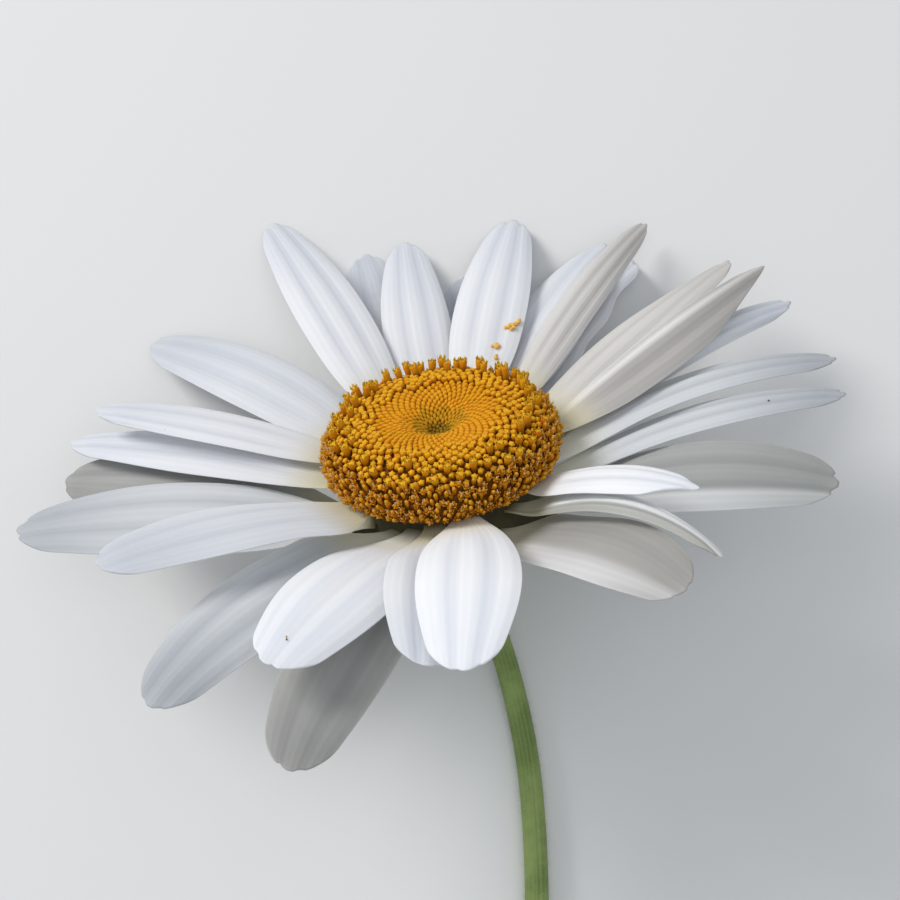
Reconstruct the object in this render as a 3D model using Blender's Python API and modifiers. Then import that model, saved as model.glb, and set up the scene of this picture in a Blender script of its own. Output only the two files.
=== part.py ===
"""A daisy, picked with a short stem and laid down.

One flower head: twenty eight white petals round a low domed yellow disc, the green
cup of bracts under them, and the stem.  The head leans back on the tips of its rear
petals and the stem lies along the surface in front of it.
"""
import math

import bmesh
import bpy
import numpy as np
from mathutils import Matrix, Vector
from mathutils.geometry import delaunay_2d_cdt

# Sizes are in millimetres and angles in degrees; meshes are written in metres.
MM = 0.001

# The head in its own frame: the axis of the disc is z, the claws of the petals leave
# at about z = 0.  Azimuth runs counter-clockwise seen from the face of the flower.
HEAD_LEAN = 42.23
HEAD_COMPASS = 101.26
HEAD_SPIN = -93.45
HEAD_HEIGHT = 18.9
HEAD_PLACE = (1.43, 31.74)

PETAL_THICKNESS = 0.6
PETAL_COLUMNS = 7
PETAL_ROWS = 10
PETAL_CUP = 0.6
PETAL_GROOVE = 0.18
# The share of a petal's length that its round tip takes, how much its outer half
# narrows, and how much longer the tips of the more pointed petals are drawn out.
TIP_ROUND = 0.12
TIP_NARROWS = 0.38
POINTED_TIPS = {6: 0.10, 10: 0.22, 15: 0.15}
# Petals folded under along one side, or both: how much narrower their left and right
# halves look for it, seen from the face of the flower with the tip pointing away.
FOLDED_SIDES = {10: (0.6, 0.0), 16: (0.1, 0.5), 27: (0.35, 0.0)}
CLAW_RADIUS = 9.0
CLAW_HALF_WIDTH = 1.0
CLAW_PITCH = 3.0
CLAW_TOP = -0.5
LAYER_STEP = 0.9

DISC_FLORETS = 500
DISC_EDGE_POINTS = 60
FLORET_SPACING = (0.85, 1.25)
FLORET_RISE = (0.40, 0.70)
FLORET_VALLEY = 0.12
# Radius and height of the disc from the dimple in its middle out to its edge.
DISC_PROFILE = (
    (0.0, 3.30),
    (1.0, 3.55),
    (2.0, 4.20),
    (3.0, 4.75),
    (4.4, 5.00),
    (6.9, 5.00),
    (8.7, 4.75),
    (10.0, 4.10),
    (10.8, 3.10),
    (11.1, 1.90),
    (10.9, 0.95),
)
# The underside of the disc, from its edge in to the top of the receptacle.
DISC_UNDERSIDE = ((10.0, 0.60), (8.4, 0.50))

RECEPTACLE_RADIUS = 8.4
RECEPTACLE_TOP = 0.2
# Radius and height of the bract cup, from the foot of the receptacle down to the stem.
CUP_PROFILE = (
    (RECEPTACLE_RADIUS, -5.30),
    (10.2, -5.35),
    (10.5, -5.80),
    (10.0, -6.70),
    (8.6, -7.70),
    (6.2, -8.55),
    (3.6, -9.10),
    (1.9, -9.30),
)
CUP_SIDES = 32
BRACTS_IN_A_ROW = 16
# For each row of bracts: start and end along the cup, stand-off, and its first azimuth.
BRACT_ROWS = (
    (0.34, 1.00, 0.36, 0.0),
    (0.14, 0.74, 0.66, 11.25),
)
BRACT_WIDTH = 2.9
# Share of a bract's length, and its width there as a share of its greatest width.
BRACT_OUTLINE = ((0.0, 0.35), (0.5, 1.0), (0.8, 0.7), (1.0, 0.12))
BRACT_ROOT = 0.55
BRACT_FOLD = 0.14

STEM_RADIUS = 1.2
STEM_TOP = -9.6
STEM_STEP = 2.6
STEM_STRAIGHT = 3.22
STEM_BEND_RADIUS = 25.0
STEM_LENGTH = 96.0
# How far the stem has gone, and the compass heading that it has there.
STEM_HEADINGS = (
    (0.0, -74.0),
    (7.0, -60.0),
    (16.0, -73.0),
    (30.0, -86.0),
    (60.0, -99.0),
    (96.0, -112.0),
)

# One line for each petal, from the left of the photograph's rear round clockwise:
# azimuth of the claw, heading at the claw from the azimuth, further swing to the tip,
# rise at the claw, pitch at the tip, length, width, roll, twist, and how many layers
# the claw lies below the top ones.
PETALS = (
    (117, -7, 2, 31, 11, 34.0, 7.5, 0, 0, 0.0),
    (102, -3, -2, 20, 6, 29.5, 8.5, 0, 0, 2.4),
    (93, 0, -4, 30, 13, 27.0, 7.5, 2, 2, 1.5),
    (80, 2, 0, 20, 6, 25.5, 7.0, 0, 0, 4.0),
    (70, 4, -3, 27, 6, 30.0, 8.0, 2, 2, 0.0),
    (59, -1, -5, 22, 4, 30.5, 8.0, 4, 2, 1.6),
    (47, 5, -1, 23, 3, 33.0, 4.0, 15, 20, 0.0),
    (40, 28, -24, 21, 2, 32.0, 6.0, -8, -6, 3.8),
    (29, 6, 0, 22, 4, 31.5, 7.0, -2, -18, 1.0),
    (14, 11, 5, 23, 7, 31.0, 7.0, 16, 14, 0.0),
    (11, 32, -26, 18, -3, 35.5, 4.5, 4, 14, 3.5),
    (1, 27, -32, 20, -9, 32.5, 5.5, -8, 7, 2.0),
    (-8, 24, -23, 20, -7, 31.0, 5.0, -8, 11, 3.2),
    (-20, 15, -19, 20, -10, 28.0, 8.0, 12, 19, 4.8),
    (-40, 11, -11, 34, -6, 18.0, 6.0, -5, -10, 0.0),
    (-52, 22, -26, 42, -22, 23.0, 7.0, -5, -34, 1.9),
    (-67, 29, -26, 31, -3, 23.5, 7.5, 8, 18, 3.9),
    (-84, -6, -10, 26, -8, 25.0, 9.0, -4, 4, 0.0),
    (-103, 10, -4, 23, -4, 22.5, 8.0, -15, -4, 1.3),
    (-117, -4, -1, 27, -4, 24.0, 9.5, -6, -6, 2.2),
    (-110, -16, 18, 12, -10, 28.5, 9.0, -4, -14, 4.8),
    (-130, -16, 18, 22, -14, 29.5, 8.5, -15, 0, 3.0),
    (-147, -6, -5, 31, -2, 26.5, 8.0, 5, -12, 0.0),
    (-160, -26, -2, 19, -8, 34.5, 9.0, -15, 2, 3.7),
    (-172, -24, -7, 17, -5, 32.0, 8.5, -20, -12, 4.4),
    (175, -20, 6, 17, -5, 31.5, 7.0, 3, -3, 1.4),
    (161, 1, -4, 22, 1, 28.0, 7.0, 0, 0, 0.0),
    (139, -8, 13, 23, -3, 32.5, 8.0, -6, -8, 1.4),
)
# Petals whose tips lie on their neighbours instead of on the surface, and how high.
LAID_ON_OTHERS = {3: 1.0}


def head_matrix():
    """Where the head leans, in metres: first its spin, then its lean, then the compass."""
    turn = Matrix.Rotation(math.radians(HEAD_COMPASS), 4, "Z")
    turn = turn @ Matrix.Rotation(math.radians(HEAD_LEAN), 4, "Y")
    turn = turn @ Matrix.Rotation(math.radians(HEAD_SPIN), 4, "Z")
    place = Vector((HEAD_PLACE[0], HEAD_PLACE[1], HEAD_HEIGHT)) * MM
    return Matrix.Translation(place) @ turn


def carry(matrix, points):
    """Points in millimetres, carried by a matrix that is in metres."""
    turn = np.array(matrix.to_3x3())
    return np.asarray(points, float) @ turn.T + np.array(matrix.translation) / MM


def smooth(x, start, end):
    """Ease from 0 at start to 1 at end."""
    s = np.clip((x - start) / (end - start), 0, 1)
    return s * s * (3 - 2 * s)


def along_outline(outline, share):
    """Radius and height at a share of the length of an outline, with its direction."""
    points = np.array(outline)
    run = np.r_[0, np.cumsum(np.hypot(*np.diff(points, axis=0).T))]
    share = np.clip(share, 0.0, 1.0)
    place = [np.interp(share, run / run[-1], points[:, axis]) for axis in (0, 1)]
    after = [np.interp(share + 0.03, run / run[-1], points[:, axis]) for axis in (0, 1)]
    before = [np.interp(share - 0.03, run / run[-1], points[:, axis]) for axis in (0, 1)]
    ahead = np.array(after) - np.array(before)
    ahead = ahead / np.hypot(*ahead)
    return place[0], place[1], ahead[0], ahead[1]


def material(name, color, roughness):
    """A plain surface colour for the source model."""
    made = bpy.data.materials.new(name)
    made.use_nodes = True
    shader = made.node_tree.nodes["Principled BSDF"]
    shader.inputs["Base Color"].default_value = (*color, 1.0)
    shader.inputs["Roughness"].default_value = roughness
    made.diffuse_color = (*color, 1.0)
    return made


def add_object(name, data, surface, collection):
    """An object with its own material, in the collection."""
    made = bpy.data.objects.new(name, data)
    made.data.materials.append(surface)
    collection.objects.link(made)
    return made


def sheet(name, grid, thickness, offset, surface, collection):
    """A thin sheet laid over a grid of points: rows along it, columns across it."""
    rows, columns = grid.shape[:2]
    shape = bmesh.new()
    bmesh.ops.create_grid(shape, x_segments=columns - 1, y_segments=rows - 1, size=1)
    for vertex in shape.verts:
        column = round((vertex.co.x + 1) / 2 * (columns - 1))
        row = round((vertex.co.y + 1) / 2 * (rows - 1))
        vertex.co = grid[row, column] * MM
    bmesh.ops.triangulate(shape, faces=shape.faces, quad_method="FIXED")
    mesh = bpy.data.meshes.new(name)
    shape.to_mesh(mesh)
    shape.free()
    mesh.shade_smooth()
    made = add_object(name, mesh, surface, collection)
    thick = made.modifiers.new("thickness", "SOLIDIFY")
    thick.thickness = thickness * MM
    thick.offset = offset
    return made


def petal_half_width(t, width):
    """Half the width of a petal at the share t of its length."""
    grown = 1 - np.exp(-(t / 0.16) ** 1.4)
    body = 0.82 + 0.18 * np.sin(np.pi * np.clip(t / 0.95, 0, 1))
    body = body * (1 - TIP_NARROWS * np.clip(2 * t - 1, 0, 1) ** 2.2)
    return CLAW_HALF_WIDTH + (width / 2 * body - CLAW_HALF_WIDTH) * grown


def petal_grid(petal, pointed, folded):
    """The middle surface of one petal, with its claw at the origin, pointing along x."""
    azimuth, heading, swing, rise, tip, length, width, roll, twist, layer = petal

    # The middle line leaves nearly level under the edge of the disc, then rises.
    t = np.linspace(0, 1, 61)
    course = np.radians(heading + swing * t)
    lifted = smooth(t, 0.0, 0.18)
    pitch = np.radians((rise + (tip - rise) * t) * lifted + CLAW_PITCH * (1 - lifted))
    ahead = np.stack([np.cos(pitch) * np.cos(course), np.cos(pitch) * np.sin(course), np.sin(pitch)], 1)
    line = np.vstack([np.zeros(3), np.cumsum((ahead[1:] + ahead[:-1]) / 2 * length / 60, 0)])

    # Rows run across it, and end in a rounded tip.
    v = np.linspace(-1, 1, PETAL_COLUMNS)[None, :]
    u = np.linspace(0, 1, PETAL_ROWS)[:, None]
    share = u * (1 - TIP_ROUND * (1 - np.sqrt(1 - v ** 2)) - pointed * np.abs(v) ** 1.5)
    middle = np.stack([np.interp(share, t, line[:, axis]) for axis in range(3)], -1)
    course = np.interp(share, t, course)
    pitch = np.interp(share, t, pitch)
    along = np.stack([np.cos(pitch) * np.cos(course), np.cos(pitch) * np.sin(course), np.sin(pitch)], -1)
    across = np.stack([-np.sin(course), np.cos(course), np.zeros_like(course)], -1)
    upward = np.cross(along, across)

    # Roll and twist turn each row; the row is arched, with soft lengthwise grooves.
    turn = np.radians(roll * smooth(share, 0, 0.35) + twist * smooth(share, 0.15, 1.0))[..., None]
    side = across * np.cos(turn) + upward * np.sin(turn)
    face = upward * np.cos(turn) - across * np.sin(turn)
    half = petal_half_width(share, width)
    shown = 1 - folded[0] * smooth(v, 0.0, 1.0) - folded[1] * smooth(-v, 0.0, 1.0)
    shape = (PETAL_GROOVE * np.cos(3 * np.pi * v) - PETAL_CUP * v ** 2) * half / (width / 2)
    shape = shape * smooth(share, 0, 0.3)
    return middle + side * (v * half * shown)[..., None] + face * shape[..., None]


def make_petal(number, petal, head, surface, collection):
    """One petal, held by its claw on the receptacle and laid down where it would sink."""
    azimuth = math.radians(petal[0])
    layer = petal[-1]
    claw = Vector((
        CLAW_RADIUS * math.cos(azimuth),
        CLAW_RADIUS * math.sin(azimuth),
        CLAW_TOP - LAYER_STEP * layer,
    ))
    own = Matrix.Translation(claw * MM) @ Matrix.Rotation(azimuth, 4, "Z")
    place = head_matrix() @ own

    # Its middle surface stays half a thickness above the surface, or above the petals
    # that its tip lies on.
    folded = FOLDED_SIDES.get(number, (0.0, 0.0))
    grid = carry(place, petal_grid(petal, POINTED_TIPS.get(number, 0.0), folded))
    lowest = PETAL_THICKNESS / 2 + LAID_ON_OTHERS.get(number, 0.0)
    grid[..., 2] = np.maximum(grid[..., 2], lowest)
    grid = carry(place.inverted(), grid)
    made = sheet("petal_%02d" % number, grid, PETAL_THICKNESS, 0.0, surface, collection)
    made.parent = head
    made.location = own.translation
    made.rotation_euler = (0, 0, azimuth)
    return made


def floret_places():
    """Share of the dome that lies inside each floret, and the floret's azimuth.

    Each floret takes an equal share of the room and stands a golden angle from the
    last; a ring of plain points closes the edge.
    """
    number = np.arange(DISC_FLORETS)
    share = (number + 0.5) / (DISC_FLORETS + 0.5 * DISC_EDGE_POINTS)
    angle = number * math.pi * (3 - math.sqrt(5))
    edge = np.arange(DISC_EDGE_POINTS) * 2 * math.pi / DISC_EDGE_POINTS
    return np.r_[share, np.ones(DISC_EDGE_POINTS)], np.r_[angle, edge]


def make_disc(surface, collection):
    """The yellow disc: a low dome covered with small raised florets in spirals."""
    share, angle = floret_places()

    # Florets are closer together in the middle, so more of them share the same room.
    fine = np.linspace(0, 1, 400)
    radius = along_outline(DISC_PROFILE, fine)[0]
    outward = smooth(fine, 0.1, 0.8)
    spacing = FLORET_SPACING[0] + (FLORET_SPACING[1] - FLORET_SPACING[0]) * outward
    crowd = radius / spacing ** 2
    filled = np.r_[0, np.cumsum((crowd[1:] + crowd[:-1]) / 2)]
    place = np.interp(share, filled / filled[-1], fine)
    r, z, ahead_r, ahead_z = along_outline(DISC_PROFILE, place)
    out = np.stack([np.cos(angle), np.sin(angle)], 1)
    base = np.column_stack([out * r[:, None], z])
    normal = np.column_stack([-out * ahead_z[:, None], ahead_r])
    rise = FLORET_RISE[0] + (FLORET_RISE[1] - FLORET_RISE[0]) * np.interp(place, fine, outward)

    # The places are joined in a flat map where they are evenly spread.
    spread = [Vector(p) for p in out * np.sqrt(share)[:, None]]
    triangles = delaunay_2d_cdt(spread, [], [], 0, 1e-7)[2]
    shape = bmesh.new()
    dots = [shape.verts.new(p * MM) for p in base]
    for corners in triangles:
        shape.faces.new([dots[i] for i in corners])

    # A sunk point in each triangle, with the first edges turned to join those points,
    # leaves a small cone round every floret.
    first = [edge for edge in shape.edges if not edge.is_boundary]
    bmesh.ops.poke(shape, faces=shape.faces, offset=-FLORET_VALLEY * MM, center_mode="MEAN")
    bmesh.ops.rotate_edges(shape, edges=first, use_ccw=False)
    for i in range(DISC_FLORETS):
        dots[i].co += Vector(normal[i] * rise[i] * MM)

    # The edge is drawn in twice to make the underside, then closed.
    for radius, height in DISC_UNDERSIDE:
        rim = [edge for edge in shape.edges if edge.is_boundary]
        drawn = bmesh.ops.extrude_edge_only(shape, edges=rim)["geom"]
        for vertex in drawn:
            if isinstance(vertex, bmesh.types.BMVert):
                flat = Vector((vertex.co.x, vertex.co.y, 0)).normalized() * radius * MM
                vertex.co = (flat.x, flat.y, height * MM)
    bmesh.ops.holes_fill(shape, edges=[edge for edge in shape.edges if edge.is_boundary])
    bmesh.ops.recalc_face_normals(shape, faces=shape.faces)
    mesh = bpy.data.meshes.new("disc")
    shape.to_mesh(mesh)
    shape.free()
    return add_object("disc", mesh, surface, collection)


def bract_grid(row, number):
    """The outer surface of one bract: it follows the cup and narrows to its point."""
    start, end, stand, first = BRACT_ROWS[row]
    azimuth = math.radians(first + number * 360 / BRACTS_IN_A_ROW)
    grid = np.zeros((len(BRACT_OUTLINE), 3, 3))
    for a, (part, width) in enumerate(BRACT_OUTLINE):
        share = start + (end - start) * part
        r, z, ahead_r, ahead_z = along_outline(CUP_PROFILE[:0:-1], share)
        for b, v in enumerate((-1, 0, 1)):
            away = stand - BRACT_FOLD * abs(v)
            reach = r + ahead_z * away
            swing = azimuth + v * BRACT_WIDTH / 2 * width / max(reach, 3.0)
            grid[a, b] = (reach * math.cos(swing), reach * math.sin(swing), z - ahead_r * away)
    return grid


def make_cup(surface, collection):
    """The receptacle on its cup, with two rows of pointed bracts joined to it."""
    outline = [(0.0, RECEPTACLE_TOP), (RECEPTACLE_RADIUS, RECEPTACLE_TOP)]
    outline += list(CUP_PROFILE)
    outline += [(0.0, CUP_PROFILE[-1][1])]
    mesh = bpy.data.meshes.new("cup")
    points = [(r * MM, 0, z * MM) for r, z in outline]
    mesh.from_pydata(points, [(i, i + 1) for i in range(len(points) - 1)], [])
    cup = add_object("involucre", mesh, surface, collection)
    turned = cup.modifiers.new("turned", "SCREW")
    turned.axis = "Z"
    turned.angle = 2 * math.pi
    turned.steps = CUP_SIDES
    turned.render_steps = CUP_SIDES
    turned.use_merge_vertices = True
    turned.merge_threshold = 0.00001

    bracts = bpy.data.collections.new("bracts")
    bpy.context.scene.collection.children.link(bracts)
    for row, (start, end, stand, first) in enumerate(BRACT_ROWS):
        for n in range(BRACTS_IN_A_ROW):
            grid = bract_grid(row, n)
            sheet("bract_%d_%02d" % (row, n), grid, stand + BRACT_ROOT, -1.0, surface, bracts)
    union = cup.modifiers.new("bracts", "BOOLEAN")
    union.operation = "UNION"
    union.operand_type = "COLLECTION"
    union.collection = bracts
    union.solver = "MANIFOLD"

    # The union is applied and the separate bracts are no longer needed.
    seen = cup.evaluated_get(bpy.context.evaluated_depsgraph_get())
    joined = bpy.data.meshes.new_from_object(seen)
    cup.modifiers.clear()
    cup.data = joined
    for piece in list(bracts.objects):
        bpy.data.objects.remove(piece)
    bpy.data.collections.remove(bracts)
    return cup


def stem_line():
    """The middle line of the stem: down from the cup, round a bend, along the surface."""
    start = carry(head_matrix(), [[0, 0, STEM_TOP]])[0]
    steep = math.radians(90 - HEAD_LEAN)
    far = np.linspace(0, STEM_LENGTH, 961)
    heading = np.radians(np.interp(far, *np.array(STEM_HEADINGS).T))
    bend = np.clip((far - STEM_STRAIGHT) / (STEM_BEND_RADIUS * steep), 0, 1)
    pitch = -steep * (1 - bend)
    ahead = np.stack([np.cos(pitch) * np.cos(heading), np.cos(pitch) * np.sin(heading), np.sin(pitch)], 1)
    step = far[1] - far[0]
    line = np.vstack([start, start + np.cumsum((ahead[1:] + ahead[:-1]) / 2 * step, 0)])
    line[:, 2] = np.maximum(line[:, 2], STEM_RADIUS)
    wanted = np.linspace(0, STEM_LENGTH, int(STEM_LENGTH / STEM_STEP) + 1)
    return wanted, np.stack([np.interp(wanted, far, line[:, axis]) for axis in range(3)], 1)


def make_stem(surface, collection):
    """A slim round stem, a little wider where it meets the cup, cut square at its end."""
    far, line = stem_line()
    curve = bpy.data.curves.new("stem", "CURVE")
    curve.dimensions = "3D"
    curve.bevel_depth = STEM_RADIUS * MM
    curve.bevel_resolution = 2
    curve.use_fill_caps = True
    spline = curve.splines.new("POLY")
    spline.points.add(len(line) - 1)
    for point, place, gone in zip(spline.points, line - line[0], far):
        point.co = (*(place * MM), 1.0)
        point.radius = 1.0 + 0.25 * math.exp(-gone / 3.0)
    made = add_object("stem", curve, surface, collection)
    made.location = line[0] * MM
    return made


for old in list(bpy.data.objects):
    bpy.data.objects.remove(old)

daisy = bpy.data.collections.new("daisy")
bpy.context.scene.collection.children.link(daisy)

petal_white = material("petal_white", (0.86, 0.85, 0.80), 0.6)
disc_yellow = material("disc_yellow", (0.85, 0.48, 0.03), 0.7)
bract_green = material("bract_green", (0.20, 0.28, 0.08), 0.6)
stem_green = material("stem_green", (0.23, 0.31, 0.09), 0.55)

flower_head = bpy.data.objects.new("head", None)
flower_head.location = head_matrix().translation
flower_head.rotation_euler = head_matrix().to_euler()
daisy.objects.link(flower_head)

for number, petal in enumerate(PETALS, 1):
    make_petal(number, petal, flower_head, petal_white, daisy)
make_disc(disc_yellow, daisy).parent = flower_head
make_cup(bract_green, daisy).parent = flower_head
make_stem(stem_green, daisy)
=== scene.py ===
# %% [markdown]
# # A picked daisy, lying down
#
# The flower is one head of twenty eight white petals round a domed yellow disc, on a
# green cup of bracts and a short stem.  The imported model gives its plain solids; this
# lesson replaces each of them with a finer piece of the same form and adds the finish.

import math

import bpy
import numpy as np
from mathutils import Matrix, Vector


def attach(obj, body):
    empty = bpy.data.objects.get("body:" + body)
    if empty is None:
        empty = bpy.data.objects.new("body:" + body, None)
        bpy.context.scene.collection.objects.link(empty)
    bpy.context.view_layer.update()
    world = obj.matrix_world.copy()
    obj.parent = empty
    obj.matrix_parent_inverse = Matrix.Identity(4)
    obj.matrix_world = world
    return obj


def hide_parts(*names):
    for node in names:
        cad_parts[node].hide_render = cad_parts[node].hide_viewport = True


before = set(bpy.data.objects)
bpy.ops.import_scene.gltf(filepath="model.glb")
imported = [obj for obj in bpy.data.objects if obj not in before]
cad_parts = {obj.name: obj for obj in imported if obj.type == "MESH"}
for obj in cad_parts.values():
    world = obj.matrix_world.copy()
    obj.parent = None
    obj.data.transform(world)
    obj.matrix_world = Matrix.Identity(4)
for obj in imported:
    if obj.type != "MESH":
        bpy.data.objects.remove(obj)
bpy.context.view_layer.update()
MM = 0.001
scene = bpy.context.scene

# %% [markdown]
# ## Where the head leans
#
# Everything in the flower head is easiest to describe in the head's own frame: z is the
# axis of the disc, and the petals leave near z = 0.  One matrix then leans the head back
# on its rear petals, with the same three angles that the solids use.  Working this way
# keeps every piece where its solid is.

# %% The head's own frame
HEAD_LEAN = 42.23
HEAD_COMPASS = 101.26
HEAD_SPIN = -93.45
HEAD_PLACE = (1.43, 31.74, 18.9)


def turn(degrees, axis):
    return Matrix.Rotation(math.radians(degrees), 3, axis)


HEAD_TURN = np.array(turn(HEAD_COMPASS, "Z") @ turn(HEAD_LEAN, "Y") @ turn(HEAD_SPIN, "Z"))


def to_world(points):
    """Points of the head's frame, in millimetres, carried to where the head leans."""
    return np.asarray(points, float) @ HEAD_TURN.T + HEAD_PLACE


print("the disc faces", np.round(HEAD_TURN[:, 2], 3))

# %% [markdown]
# ## The camera
#
# The photograph looks at the head from 33 degrees above the plane of its petals, turned
# 9 degrees, from about 140 mm.  Laid down, the same view is a camera that looks steeply
# down.  It is placed in the head's frame and carried over, so the framing stays true.

# %% Camera at the photograph's viewing angle
VIEW_RISE = math.radians(33)
VIEW_ROLL = math.radians(9)
VIEW_DISTANCE = 140.0
FOCAL_PIXELS = 1456.0
FRAME_PIXELS = 900
HEAD_AT_PIXEL = (446.0, 458.0)
SENSOR_WIDTH = 36.0
NEAREST_SEEN = 0.005

back = np.array([0, -math.cos(VIEW_RISE), math.sin(VIEW_RISE)])
level = np.array([1.0, 0, 0])
rising = np.array([0, math.sin(VIEW_RISE), math.cos(VIEW_RISE)])
right = math.cos(VIEW_ROLL) * level - math.sin(VIEW_ROLL) * rising
up = math.sin(VIEW_ROLL) * level + math.cos(VIEW_ROLL) * rising
off_x = (HEAD_AT_PIXEL[0] - FRAME_PIXELS / 2) * VIEW_DISTANCE / FOCAL_PIXELS
off_y = (HEAD_AT_PIXEL[1] - FRAME_PIXELS / 2) * VIEW_DISTANCE / FOCAL_PIXELS
eye = to_world([-right * off_x + up * off_y + back * VIEW_DISTANCE])[0]

camera_data = bpy.data.cameras.new("camera")
camera_data.sensor_width = SENSOR_WIDTH
camera_data.lens = FOCAL_PIXELS / FRAME_PIXELS * SENSOR_WIDTH
camera_data.clip_start = NEAREST_SEEN
camera = bpy.data.objects.new("camera", camera_data)
axes = np.stack([HEAD_TURN @ right, HEAD_TURN @ up, HEAD_TURN @ back], 1)
camera.matrix_world = Matrix.Translation(Vector(eye) * MM) @ Matrix(axes.tolist()).to_4x4()
scene.collection.objects.link(camera)
scene.camera = camera
print("camera at", np.round(eye), "mm, lens", round(camera_data.lens, 1))

# %% [markdown]
# ## Small helpers for meshes
#
# Every piece below is points and faces from a rule.  They could be modelled by hand in
# edit mode, but a rule can be changed and run again.  One helper turns points and faces
# into an object that rides on the model's body, replaces its plain solid and gets its
# finish.  The others give the faces of a grid of points and of a thin sheet.

# %% Helpers for meshes


def piece(name, points, faces, finish, node=None, uv=None):
    """A smooth mesh piece from points in millimetres, with its finish and its places."""
    mesh = bpy.data.meshes.new(name)
    mesh.from_pydata((np.asarray(points) * MM).tolist(), [], [tuple(map(int, f)) for f in faces])
    if uv is not None:
        layer = mesh.uv_layers.new(name="span")
        corner = np.empty(len(mesh.loops), dtype=np.int32)
        mesh.loops.foreach_get("vertex_index", corner)
        layer.data.foreach_set("uv", np.asarray(uv, dtype=np.float32)[corner].ravel())
    mesh.update()
    mesh.shade_smooth()
    mesh.materials.append(finish)
    made = bpy.data.objects.new(name, mesh)
    scene.collection.objects.link(made)
    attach(made, "root")
    if node:
        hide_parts(node)
    return made


def grid_faces(rows, columns, start=0, around=False, flip=False):
    """Quads over a grid of points laid row by row; around joins the last column to the first."""
    steps = np.arange(columns if around else columns - 1)
    a, b = np.meshgrid(np.arange(rows - 1), steps, indexing="ij")
    c = (b + 1) % columns
    quads = np.stack([a * columns + b, a * columns + c, (a + 1) * columns + c, (a + 1) * columns + b], -1)
    quads = quads.reshape(-1, 4) + start
    return quads[:, ::-1] if flip else quads


def sheet_faces(rows, columns, start=0, flip=False):
    """Faces of a thin sheet: a grid of points, the same grid again under it, and the rim."""
    count = rows * columns
    faces = [*grid_faces(rows, columns, start, flip=flip)]
    faces += [*grid_faces(rows, columns, start + count, flip=not flip)]
    index = np.arange(count).reshape(rows, columns) + start
    rim = [*index[0, :], *index[1:, -1], *index[-1, -2::-1], *index[-2:0:-1, 0]]
    for a, b in zip(rim, rim[1:] + rim[:1]):
        faces.append((a, b, b + count, a + count) if flip else (a, a + count, b + count, b))
    return faces


print("faces of a thin sheet of three by three points:", len(sheet_faces(3, 3)))

# %% [markdown]
# ## What a petal's surface does
#
# A daisy petal is thin white tissue over a few lengthwise veins.  Two valleys run from
# claw to tip, finer lines lie between them, and the claw is tinted cream by the green
# under it.  All of this follows the petal and not the world, so the effect reads the
# petal's own two directions from its UV map: u across, v along.  It is built once as a
# node group that gives a height and masks.  Each finish sets how many veins there are and
# mixes the masks in its own strength.  A painted picture could do it too, but it would
# blur near the camera and need one for each petal.

# %% Helpers for nodes


def join(tree, source, target):
    """Link a socket or set a value."""
    if hasattr(source, "is_output"):
        tree.links.new(source, target)
    else:
        target.default_value = source


def math_node(tree, operation, a, b=0.0, c=None):
    node = tree.nodes.new("ShaderNodeMath")
    node.operation = operation
    join(tree, a, node.inputs[0])
    join(tree, b, node.inputs[1])
    if c is not None:
        join(tree, c, node.inputs[2])
    return node.outputs[0]


def ease_node(tree, value, low, high, bottom=0.0, top=1.0):
    node = tree.nodes.new("ShaderNodeMapRange")
    node.interpolation_type = "SMOOTHSTEP"
    join(tree, value, node.inputs["Value"])
    for name, limit in (("From Min", low), ("From Max", high), ("To Min", bottom), ("To Max", top)):
        join(tree, limit, node.inputs[name])
    return node.outputs["Result"]


def mix_node(tree, share, a, b):
    node = tree.nodes.new("ShaderNodeMix")
    node.data_type = "RGBA"
    join(tree, share, node.inputs[0])
    join(tree, a, node.inputs[6])
    join(tree, b, node.inputs[7])
    return node.outputs[2]


def noise_node(tree, vector, scale, detail=2.0, roughness=0.5):
    node = tree.nodes.new("ShaderNodeTexNoise")
    join(tree, vector, node.inputs["Vector"])
    join(tree, scale, node.inputs["Scale"])
    node.inputs["Detail"].default_value = detail
    node.inputs["Roughness"].default_value = roughness
    return node.outputs["Fac"]


def new_group(name, inputs, outputs):
    """An empty node group with named number inputs and the named outputs."""
    group = bpy.data.node_groups.new(name, "ShaderNodeTree")
    for label, value in inputs:
        socket = group.interface.new_socket(label, in_out="INPUT", socket_type="NodeSocketFloat")
        socket.default_value = value
    for label in outputs:
        group.interface.new_socket(label, in_out="OUTPUT", socket_type="NodeSocketFloat")
    return group, group.nodes.new("NodeGroupInput"), group.nodes.new("NodeGroupOutput")


def own_directions(group):
    """The piece's two own directions from its UV map, and the place on it."""
    span = group.nodes.new("ShaderNodeUVMap")
    span.uv_map = "span"
    parts = group.nodes.new("ShaderNodeSeparateXYZ")
    group.links.new(span.outputs["UV"], parts.inputs[0])
    place = group.nodes.new("ShaderNodeTexCoord").outputs["Object"]
    return parts.outputs["X"], parts.outputs["Y"], place


print("node helpers: join, math_node, ease_node, mix_node, noise_node, new_group, own_directions")

# %% The vein effect
vein_group, vein_in, vein_out = new_group(
    "petal_veins",
    (("Vein Count", 11.0), ("Wander", 0.35)),
    ("Height", "Groove", "Claw", "Foot", "Tip", "Mottle", "Across"),
)
across, along, place = own_directions(vein_group)

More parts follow.
